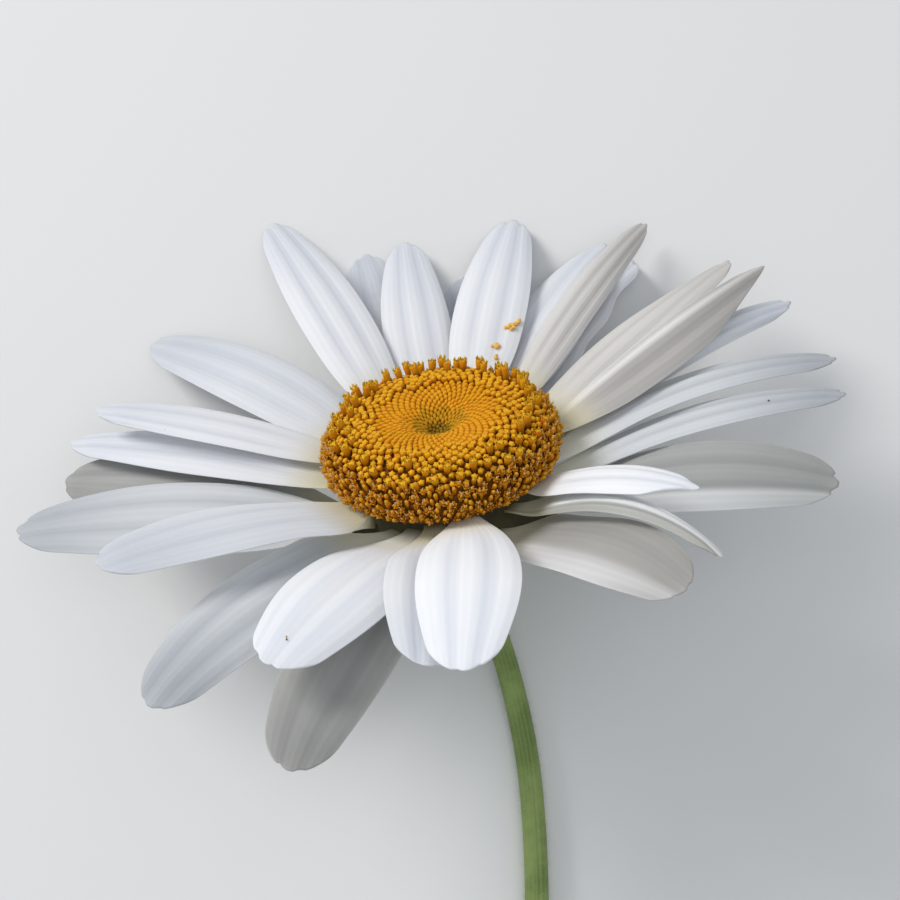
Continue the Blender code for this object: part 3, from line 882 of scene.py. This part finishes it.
# The buds of the sunken middle: their darkest tones are painted shade in the dimple.  The dark specks of
# dirt on the petals borrow this finish too.
pit_finish = floret_finish(
    "floret_pit",
    foot=(0.07, 0.035, 0.004),
    body=(0.20, 0.10, 0.004),
    other=(0.16, 0.10, 0.01),
    tip=(0.30, 0.17, 0.01),
    dust_size=2800.0,
)
heart_finish = floret_finish(
    "floret_heart",
    foot=GAP_SHADE_BROWN,
    body=(0.42, 0.20, 0.005),
    other=(0.50, 0.24, 0.006),
    tip=(0.56, 0.28, 0.01),
    dust_size=2600.0,
)
bud_finish = floret_finish(
    "floret_bud",
    foot=(0.46, 0.18, 0.005),
    body=GOLD,
    other=DEEP_GOLD,
    tip=(0.74, 0.34, 0.01),
    dust_size=2400.0,
)
open_finish = floret_finish(
    "floret_open", foot=GAP_SHADE_BROWN, body=GOLD, other=DEEP_GOLD, tip=(0.78, 0.42, 0.02), blushing=0.8
)
# A darker copy of the open floret's tones: painted shade on the outer wall of the disc.
wall_floret_finish = floret_finish(
    "floret_wall",
    foot=GAP_SHADE_BROWN,
    body=DEEP_GOLD,
    other=(0.48, 0.15, 0.004),
    tip=(0.66, 0.34, 0.03),
    fork_tone=(0.84, 0.55, 0.36),
    blushing=0.8,
)
# The floor between the florets is all dark brown: painted shade.
dome_finish = floret_finish(
    "disc_floor", foot=GAP_SHADE_BROWN, body=GAP_SHADE_BROWN, other=GAP_SHADE_BROWN, tip=(0.22, 0.08, 0.005), fork_tone=GAP_SHADE_BROWN
)
print("floret finishes:", [m.name for m in bpy.data.materials if m.name.startswith("floret")])

# %% [markdown]
# ## Planting the florets
#
# Real florets grow side by side and each one differs a little.  Copies of the kinds are
# turned, leaned and sized by a little chance and joined in one piece a zone, which a
# particle system could also do, but real mesh is kept when the model is exported.  The
# age of a floret, its distance from the middle give or take a little, says its kind.

# %% How a kind is planted
WIDTH_CHANCE = (0.92, 1.08)
HEIGHT_CHANCE = (0.88, 1.12)


def plant(name, kind, chosen, wide, tall, lean, finish, stretch=1.0, unruly=0.05):
    """Copies of one kind, turned and sized a little by chance, joined in one piece.

    lean is how far they turn from the dome's own direction towards the axis of the disc.
    """
    base, faces, heights = kind
    points, all_faces, uvs = [], [], []
    for k in chosen:
        out = np.array([math.cos(golden[k]), math.sin(golden[k]), 0.0])
        tangent = np.array([-out[1], out[0], 0.0])
        axis = (slope_z[k] * (1 - lean) + lean) * np.array([0, 0, 1.0]) - slope_r[k] * (1 - lean) * out
        axis = axis / np.linalg.norm(axis) + chance.normal(0, unruly, 3)
        axis /= np.linalg.norm(axis)
        x = np.cross(tangent, axis)
        x /= np.linalg.norm(x)
        y = np.cross(axis, x)
        spin = chance.uniform(0, math.tau) if stretch == 1.0 else 0.0
        x, y = x * math.cos(spin) + y * math.sin(spin), y * math.cos(spin) - x * math.sin(spin)
        x = x * wide[k] * chance.uniform(*WIDTH_CHANCE) * stretch
        y = y * wide[k] * chance.uniform(*WIDTH_CHANCE) / stretch
        up_it = axis * tall[k] * chance.uniform(*HEIGHT_CHANCE)
        foot = floret_r[k] * out + [0, 0, floret_z[k]]
        start = len(points) * len(base)
        points.append(foot + base[:, :1] * x + base[:, 1:2] * y + base[:, 2:] * up_it)
        all_faces += [[i + start for i in face] for face in faces]
        uvs.append(np.stack([np.full(len(base), chance.uniform(0, 1)), heights], 1))
    points = to_world(np.vstack(points) + DISC_SHIFT)
    piece(name, points, all_faces, finish, uv=np.vstack(uvs))
    print(name + ":", len(chosen), "florets")


print("florets to plant:", FLORETS)

# %% Plant the buds
PIT_END = 1.5
HEART_END = 3.1
BUDS_END = 6.6
RIPE_END = 8.6
BUD_STRETCH = 1.30
AGE_SPREAD = 0.3
BUD_HEIGHT = 0.26
BUDS_GROW_BY = 0.16
RIPE_TALLER_BY = 0.22
age = stand + chance.normal(0, AGE_SPREAD, FLORETS)
size = np.interp(stand, fine_run, gap_at)
bud_tall = BUD_HEIGHT + BUDS_GROW_BY * smooth(stand, 2.0, 7.5)
in_pit = stand < PIT_END
in_heart = ~in_pit & (age < HEART_END)
in_bud = ~in_pit & (age >= HEART_END) & (age < BUDS_END)
ripe = floret_numbers[(age >= BUDS_END) & (age < RIPE_END)]
ripe_tall = bud_tall + RIPE_TALLER_BY
plant("disc_pit_buds", BUD, floret_numbers[in_pit], size, bud_tall, 0.0, pit_finish)
plant("disc_heart_buds", BUD, floret_numbers[in_heart], size, bud_tall, 0.0, heart_finish, BUD_STRETCH)
plant("disc_buds", BUD, floret_numbers[in_bud], size, bud_tall, 0.0, bud_finish, BUD_STRETCH)
plant("disc_ripe_buds", RIPE_BUD, ripe, size * 1.05, ripe_tall, 0.1, open_finish, unruly=0.20)

# %% Plant the open florets
RIM_START = 9.0
RIM_END = 11.0
TALL_APART = 1.0
PEG_SHARE = 0.45
RIM_HEIGHT = 1.25
REAR_TALLER_BY = 0.35
opened = age >= RIPE_END
on_rim = opened & (stand < RIM_END)
places = np.stack([floret_r * np.cos(golden), floret_r * np.sin(golden)], 1)
tall_ones = []
for k in chance.permutation(floret_numbers[(stand > RIM_START) & (stand < RIM_END - 0.1)]):
    if all(np.hypot(*(places[k] - places[j])) > TALL_APART for j in tall_ones):
        tall_ones.append(k)
others = ~np.isin(floret_numbers, tall_ones)
pegs = chance.uniform(0, 1, FLORETS) < PEG_SHARE
each = np.ones(FLORETS)
tall = RIM_HEIGHT + REAR_TALLER_BY * smooth(np.sin(golden), -0.4, 0.4)
tall = tall * (1 + chance.normal(0, 0.10, FLORETS))
low_ones = floret_numbers[on_rim & others]
wall_pegs = floret_numbers[opened & ~on_rim & pegs]
wall_open = floret_numbers[opened & ~on_rim & ~pegs]
plant("disc_rim_florets", OPENING, tall_ones, 0.84 * each, tall, 0.6, open_finish, unruly=0.09)
plant("disc_low_florets", PEG, low_ones, size * 1.15, 0.62 * each, 0.35, open_finish, unruly=0.18)
plant("disc_wall_pegs", PEG, wall_pegs, size * 0.9, 1.15 * each, 0.6, wall_floret_finish, unruly=0.16)
plant("disc_wall_florets", OPEN, wall_open, size, 0.92 * each, 0.6, wall_floret_finish, unruly=0.16)

# %% [markdown]
# ## The floor of the disc
#
# Between the florets one sees the floor that they grow from, dark brown with painted
# shade.  It is the disc's outline turned round its axis, so it is points from radius and
# height.  A screw modifier would do the same, but the cup is turned in the same way, so
# one helper makes both.

# %% The floor of the disc
FLOOR_UNDERSIDE = -0.3
UNDERSIDE_RADIUS = 8.5
DOME_SIDES = 72


def turned_shape(outline, sides):
    """A closed shape round the z axis, from radius and height; it starts and ends on the axis."""
    angle = np.arange(sides) * math.tau / sides
    ring = np.stack([np.cos(angle), np.sin(angle), np.ones(sides)], 1)
    rounds = [ring * (r, r, z) for r, z in outline[1:-1]]
    points = np.vstack(rounds + [[[0, 0, outline[0][1]]], [[0, 0, outline[-1][1]]]])
    faces = list(grid_faces(len(rounds), sides, around=True, flip=True))
    last = (len(rounds) - 1) * sides
    for k in range(sides):
        faces.append((k, (k + 1) % sides, len(points) - 2))
        faces.append((last + (k + 1) % sides, last + k, len(points) - 1))
    return points, faces


underside = ((UNDERSIDE_RADIUS, FLOOR_UNDERSIDE), (0.0, FLOOR_UNDERSIDE))
points, faces = turned_shape(DISC_PROFILE + underside, DOME_SIDES)
uv = np.zeros((len(points), 2))
piece("disc_dome", to_world(points + DISC_SHIFT), faces, dome_finish, "disc", uv)
print("floor of the disc:", len(faces), "faces")

# %% [markdown]
# ## Grains that fell on the petals
#
# A little pollen has fallen from the rim on the petal behind it, and a few petals carry a
# dark speck of dirt.  They are tiny lumps of mesh set on the petal's own surface, each at
# a place across and along its petal, so they stay on it whatever its form.

# %% Fallen grains
GRAIN = rings(((-0.40, 0.15), (-0.25, 0.42), (0.05, 0.50), (0.32, 0.38), (0.45, 0.12)), 8, 0.4)
POLLEN_PLACES = ((5, -0.71, 0.39, 9), (5, -0.79, 0.425, 4), (5, -0.38, 0.30, 6), (5, -0.50, 0.26, 2))
DIRT_PLACES = ((27, 0.88, 0.69, 1), (26, -0.92, 0.49, 1), (13, -0.26, 0.75, 1), (20, -0.13, 0.87, 2))


def strew(name, places, wide, spread, finish, tone_height):
    """Grains about some places: petal number, place across and along, and how many."""
    points, faces, uvs = [], [], []
    for petal_number, across_at, along_at, many in places:
        top, out, v, share = surfaces[petal_number]
        nearest = np.argmin(np.hypot(v - across_at, (share - along_at) * 8))
        foot, axis = top.reshape(-1, 3)[nearest], out.reshape(-1, 3)[nearest]
        x = np.cross(axis, [0, 0, 1.0])
        x /= np.linalg.norm(x)
        y = np.cross(axis, x)
        lump = GRAIN[0][:, :1] * x + GRAIN[0][:, 1:2] * y + GRAIN[0][:, 2:] * axis
        for _ in range(many):
            grain = wide * chance.uniform(0.7, 1.3)
            shift = x * chance.normal(0, spread) + y * chance.normal(0, spread) + axis * grain * 0.3
            faces += [[i + len(points) * len(lump) for i in face] for face in GRAIN[1]]
            points.append(foot + shift + lump * grain * chance.uniform(0.8, 1.2, 3))
            uvs.append(np.full((len(lump), 2), (chance.uniform(0, 0.9), tone_height)))
    piece(name, np.vstack(points), faces, finish, uv=np.vstack(uvs))
    print(name + ":", len(points), "grains")


strew("fallen_pollen", POLLEN_PLACES, 0.40, 0.26, open_finish, 1.28)
strew("dark_specks", DIRT_PLACES, 0.15, 0.15, pit_finish, 0.4)

# %% [markdown]
# ## Leaf green finishes
#
# The green parts are fibrous: fine lines run along them, mottled light and dark, and the
# bracts have dry brown edges.  One effect, built once like the petals' veins, serves the
# bracts, the stem, the pith and the receptacle.  A repeated picture would show its seams
# round the stem.

# %% The leaf effect
green_group, green_in, green_out = new_group(
    "leaf_fibre",
    (("Fibres", 9.0),),
    ("Height", "Edge", "Mottle"),
)
across, along, place = own_directions(green_group)
fibres = math_node(green_group, "MULTIPLY", across, green_in.outputs["Fibres"])
fibres = math_node(green_group, "COSINE", math_node(green_group, "MULTIPLY", fibres, math.tau))
grain = noise_node(green_group, place, 1500.0, 3.0, 0.6)
green_group.links.new(math_node(green_group, "MULTIPLY_ADD", fibres, 0.5, grain), green_out.inputs["Height"])
side = math_node(green_group, "ABSOLUTE", math_node(green_group, "SUBTRACT", across, 0.5))
edge = ease_node(green_group, side, 0.34, 0.46)
tip = ease_node(green_group, along, 0.9, 1.0)
green_group.links.new(math_node(green_group, "MAXIMUM", edge, tip), green_out.inputs["Edge"])
green_group.links.new(noise_node(green_group, place, 300.0, 3.0), green_out.inputs["Mottle"])
print("leaf effect:", len(green_group.nodes), "nodes")

# %% Leaf green finishes
DRY_EDGE = (0.16, 0.075, 0.03)


def green_finish(name, dark, light, roughness, depth, fibres, edge_share=0.0):
    """A finish from a dark and a light green; edge_share is how dry its edges are."""
    made, tree, shader, marks = new_finish(name, green_group, {"Fibres": fibres})
    tone = mix_node(tree, ease_node(tree, marks["Mottle"], 0.3, 0.7), (*dark, 1), (*light, 1))
    tone = mix_node(tree, ease_node(tree, marks["Height"], 0.1, 1.0, 0.0, 0.35), tone, (*light, 1))
    if edge_share:
        tone = tinted(tree, tone, marks["Edge"], edge_share, DRY_EDGE)
    join(tree, tone, shader.inputs["Base Color"])
    shader.inputs["Roughness"].default_value = roughness
    shader.inputs["Specular IOR Level"].default_value = 0.4
    add_bump(tree, shader, marks["Height"], 0.5, depth)
    return made


bract_finish = green_finish("bract_green", (0.10, 0.16, 0.035), (0.20, 0.28, 0.07), 0.55, 0.00006, 9, 0.9)
stem_finish = green_finish("stem_green", (0.13, 0.20, 0.045), (0.25, 0.34, 0.10), 0.5, 0.00005, 16)
pale_finish = green_finish("pith_green", (0.34, 0.38, 0.14), (0.48, 0.50, 0.24), 0.6, 0.00004, 12)
# The receptacle's near black olive is painted shade between the claws.
cup_shade_finish = green_finish("receptacle_painted_shade", (0.030, 0.024, 0.008), (0.07, 0.06, 0.02), 0.7, 0.00004, 6)
print("green finishes:", [f.name for f in (bract_finish, stem_finish, pale_finish, cup_shade_finish)])

# %% [markdown]
# ## The receptacle
#
# The swollen end of the stem, the receptacle, carries the disc and all the petals.  Only
# its near black olive shows, between the claws; that darkness is painted shade.  A plain
# cylinder could carry the petals too, but the real one narrows to the stem in a curve, so
# it is turned from its outline, as the floor of the disc is.

# %% The receptacle
CUP_SIDES = 64
CUP_PROFILE = (
    (0.0, 0.2),
    (8.4, 0.2),
    (8.4, -5.30),
    (10.1, -5.40),
    (10.3, -5.85),
    (9.85, -6.70),
    (8.45, -7.70),
    (6.1, -8.52),
    (3.6, -9.05),
    (1.9, -9.30),
    (0.9, -9.45),
)
points, faces = turned_shape(CUP_PROFILE + ((0.0, CUP_PROFILE[-1][1]),), CUP_SIDES)
uv = np.zeros((len(points), 2))
piece("receptacle", to_world(points), faces, cup_shade_finish, "involucre", uv)
print("receptacle:", len(faces), "faces")

# %% [markdown]
# ## The bracts
#
# Round the receptacle lies the involucre: overlapping green bracts with dry brown edges.
# Each bract is its own thin blade, folded a little along its middle.  They are laid in
# three rows, so that each row covers the gaps of the next.  A picture of bracts on the
# cup would look flat from the side, and an array modifier would make them all alike.

# %% The form of a bract
BRACT_GRID = (14, 7)
BRACT_HALF_THICK = 0.09
BRACT_FOLD = 0.16
BRACT_CURVE = 0.10
MIDRIB = 0.06
SLOPE_STEP = 0.04

# The outer line of the cup, from the stem up to its rim.
cup = np.array(CUP_PROFILE[:2:-1])
cup_run = np.r_[0, np.cumsum(np.hypot(*np.diff(cup, axis=0).T))]
cup_run /= cup_run[-1]


def on_cup(share):
    """Radius and height of the outer line at a share of its length."""
    return np.array([np.interp(share, cup_run, cup[:, 0]), np.interp(share, cup_run, cup[:, 1])])


def bract(azimuth, start, end, away, lift, wide):
    """Points of the two faces of one blade, in the head's frame."""
    a = np.linspace(0, 1, BRACT_GRID[0])[:, None]
    b = np.linspace(-1, 1, BRACT_GRID[1])[None, :]
    share = start + (end - start) * a
    r, z = on_cup(share)
    dr, dz = on_cup(share + SLOPE_STEP) - on_cup(share - SLOPE_STEP)
    step = np.maximum(np.hypot(dr, dz), 1e-6)
    half = wide / 2 * np.sin(np.pi * np.clip(0.16 + 0.84 * a, 0, 1) ** 1.5) ** 0.75
    sheets = []
    for thick in (BRACT_HALF_THICK, -BRACT_HALF_THICK):
        off = away + lift * a + thick - BRACT_FOLD * np.abs(b) - BRACT_CURVE * b ** 2
        off = off + MIDRIB * hump(b, 0.0, 0.18)
        reach = r + dz / step * off
        phi = azimuth + b * half / np.maximum(reach, 2.0)
        height = z - dr / step * off + 0 * b
        sheets.append(np.stack([reach * np.cos(phi), reach * np.sin(phi), height], -1).reshape(-1, 3))
    return np.vstack(sheets)


print("points of a bract:", 2 * BRACT_GRID[0] * BRACT_GRID[1])

# %% The bracts
# Start, end, distance from the cup, width and how many, for each row.
BRACT_ROWS = (
    (0.30, 1.04, 0.14, 3.0, 22),
    (0.18, 0.84, 0.34, 2.7, 20),
    (0.08, 0.60, 0.54, 2.3, 16),
)
points, faces = [], []
for row, (start, end, away, wide, many) in enumerate(BRACT_ROWS):
    for k in range(many):
        azimuth = math.tau * (k + 0.5 * row) / many + chance.normal(0, 0.02)
        lift = chance.uniform(-0.04, 0.10)
        ending = end + chance.uniform(-0.03, 0.02)
        faces += sheet_faces(*BRACT_GRID, start=sum(len(p) for p in points))
        points.append(bract(azimuth, start, ending, away, lift, wide))
along, across = np.meshgrid(*(np.linspace(0, 1, n) for n in BRACT_GRID), indexing="ij")
uv = np.tile(np.stack([across, along], -1).reshape(-1, 2), (2 * len(points), 1))
piece("bracts", to_world(np.vstack(points)), faces, bract_finish, uv=uv)
print("bracts:", len(points))

# %% [markdown]
# ## The stem
#
# The stem is a slim green stalk with shallow ribs, widening into the cup.  It follows
# the line that its solid has: straight out of the cup, round a bend and along the
# surface.  A ribbed section swept along that line shows the ribs in its outline, which
# a bevelled curve could not; the cut end shows the pale pith.

# %% The line of the stem
STEM_RADIUS = 1.2
STEM_TOP = -9.6
STEM_STRAIGHT = 3.22
STEM_BEND_RADIUS = 25.0
STEM_LENGTH = 96.0
STEM_IN_CUP = 0.9
STEM_HEADINGS = ((0, -74), (7, -60), (16, -73), (30, -86), (60, -99), (96, -112))

far = np.linspace(0, STEM_LENGTH, 241)
heading = np.radians(np.interp(far, *np.array(STEM_HEADINGS, float).T))
steep = math.radians(90 - HEAD_LEAN)
bend = np.clip((far - STEM_STRAIGHT) / (STEM_BEND_RADIUS * steep), 0, 1)
pitch = -steep * (1 - bend)
ahead = pointing(heading, pitch)
start = to_world([[0, 0, STEM_TOP]])[0]
line = np.vstack([start, start + np.cumsum((ahead[1:] + ahead[:-1]) / 2 * (far[1] - far[0]), 0)])
line[:, 2] = np.maximum(line[:, 2], STEM_RADIUS + 0.06)
line = np.vstack([start - ahead[0] * STEM_IN_CUP, line])
ahead = np.vstack([ahead[0], ahead])
far = np.r_[-STEM_IN_CUP, far]
print("line of the stem:", round(float(far[-1])), "mm, lowest middle", round(float(line[:, 2].min()), 2))

# %% Sweep the ribbed section
STEM_SIDES = 32
STEM_RIBS = 8
RIB_SHARE = 0.045
SWELL_SHARE = 0.30
SWELL_LENGTH = 2.2
phi = np.arange(STEM_SIDES) * math.tau / STEM_SIDES
across = np.cross(ahead, [0, 0, 1.0])
across /= np.linalg.norm(across, axis=1)[:, None]
over = np.cross(across, ahead)
swell = 1.0 + SWELL_SHARE * np.exp(-(far + STEM_IN_CUP) / SWELL_LENGTH)
ribs = 1 + RIB_SHARE * np.cos(STEM_RIBS * phi[None, :] + far[:, None] * 0.03)
radius = STEM_RADIUS * 0.97 * swell[:, None] * ribs
ringed = line[:, None, :] + radius[..., None] * (
    across[:, None, :] * np.cos(phi)[None, :, None] + over[:, None, :] * np.sin(phi)[None, :, None]
)
points = ringed.reshape(-1, 3)
faces = list(grid_faces(len(line), STEM_SIDES, around=True, flip=True))
uv = np.stack(np.broadcast_arrays(phi[None, :] / math.tau, far[:, None] / 200 + 0.2), -1).reshape(-1, 2)
piece("fine_stem", points, faces, stem_finish, "stem", uv)
print("stem:", len(faces), "faces,", STEM_RIBS, "ribs")

# %% The cut end
# Share of the stem's radius, and how deep the ring lies below the cut.
CUT_RINGS = ((0.86, -0.05), (0.55, 0.10), (0.25, 0.18))
PITH_DEPTH = 0.2
cut = [ringed[-1]]
middle = line[-1]
for share, sink in CUT_RINGS:
    cut.append(middle + (ringed[-1] - middle) * share - ahead[-1] * sink)
points = np.vstack(cut + [[middle - ahead[-1] * PITH_DEPTH]])
faces = list(grid_faces(len(cut), STEM_SIDES, around=True, flip=True))
last = (len(cut) - 1) * STEM_SIDES
faces += [(last + (k + 1) % STEM_SIDES, last + k, len(points) - 1) for k in range(STEM_SIDES)]
piece("stem_cut_end", points, faces, pale_finish, uv=np.zeros((len(points), 2)))
print("cut end:", len(faces), "faces")

# %% [markdown]
# ## Hairs on the stem
#
# A daisy's stem has sparse short pale hairs.  Each one is a thin three-sided spike of real
# mesh on the swept surface.  Hair curves would look the same here, but they are dropped
# when the model is exported.

# %% Stem hairs
HAIRS = 1500
HAIR_RADIUS = 0.03
HAIR_LENGTHS = (0.25, 0.60)
HAIR_LEAN = 0.3
spot = chance.uniform(1.5, STEM_LENGTH - 1.0, HAIRS)
turned = chance.uniform(0, math.tau, HAIRS)[:, None]
middle_at = np.stack([np.interp(spot, far, line[:, axis]) for axis in range(3)], 1)
ahead_at = np.stack([np.interp(spot, far, ahead[:, axis]) for axis in range(3)], 1)
across_at = np.stack([np.interp(spot, far, across[:, axis]) for axis in range(3)], 1)
over_at = np.cross(across_at, ahead_at)
out = across_at * np.cos(turned) + over_at * np.sin(turned)
around_it = np.cross(out, ahead_at)
foot = middle_at + out * STEM_RADIUS * 0.93
leaning = out + ahead_at * chance.normal(HAIR_LEAN, 0.3, (HAIRS, 1))
tip = foot + leaning * chance.uniform(*HAIR_LENGTHS, (HAIRS, 1))
standing = (tip[:, 2] > 0.1) & (foot[:, 2] > 0.2)
corners = [foot + (around_it * math.cos(a) + ahead_at * math.sin(a)) * HAIR_RADIUS for a in (0.5, 2.6, 4.7)]
points = np.stack([*corners, tip], 1)[standing].reshape(-1, 3)
faces = []
for n in range(0, len(points), 4):
    faces += [(n, n + 1, n + 3), (n + 1, n + 2, n + 3), (n + 2, n, n + 3)]
piece("stem_hairs", points, faces, pale_finish, uv=np.full((len(points), 2), 0.5))
print("hairs:", int(standing.sum()))

# %% [markdown]
# ## The surface and the light
#
# A plain pale surface and two soft lamps are all the studio there is.  The main lamp
# comes from the upper left and behind, as daylight does in the photograph, so that the
# near wall of the disc and the petals on the right fall into soft shade.

# %% Surface
SURFACE_HALF = 1.5
floor_mesh = bpy.data.meshes.new("surface")
corners = [(x * SURFACE_HALF, y * SURFACE_HALF, 0) for x, y in ((-1, -1), (1, -1), (1, 1), (-1, 1))]
floor_mesh.from_pydata(corners, [], [(0, 1, 2, 3)])
floor = bpy.data.objects.new("surface", floor_mesh)
scene.collection.objects.link(floor)
floor_finish = bpy.data.materials.new("pale_surface")
tree, shader = shader_of(floor_finish)
shader.inputs["Base Color"].default_value = (0.78, 0.78, 0.77, 1)
shader.inputs["Roughness"].default_value = 0.9
shader.inputs["Specular IOR Level"].default_value = 0.2
floor_mesh.materials.append(floor_finish)
print("surface:", 2 * SURFACE_HALF, "m wide")

# %% Light
HEAD_MIDDLE = (0.0, 0.03, 0.02)
DAYLIGHT = 0.46
SKY = (0.9, 0.94, 1.0, 1)


def lamp(name, place, power, width, color):
    """A square lamp that faces the head."""
    data = bpy.data.lights.new(name, "AREA")
    data.size = width
    data.energy = power
    data.color = color
    made = bpy.data.objects.new(name, data)
    made.location = Vector(place)
    aim = Vector(HEAD_MIDDLE) - made.location
    made.rotation_euler = aim.to_track_quat("-Z", "Y").to_euler()
    scene.collection.objects.link(made)


lamp("main_lamp", (-0.50, 0.38, 0.44), 3.5, 0.30, (1.0, 0.985, 0.96))
lamp("soft_lamp", (0.05, -0.10, 0.60), 0.8, 0.5, (0.93, 0.96, 1.0))
world = bpy.data.worlds.new("studio")
world.use_nodes = True
world.node_tree.nodes["Background"].inputs["Color"].default_value = SKY
world.node_tree.nodes["Background"].inputs["Strength"].default_value = DAYLIGHT
scene.world = world
scene.view_settings.view_transform = "Standard"
print("lamps:", [data.name for data in bpy.data.lights])
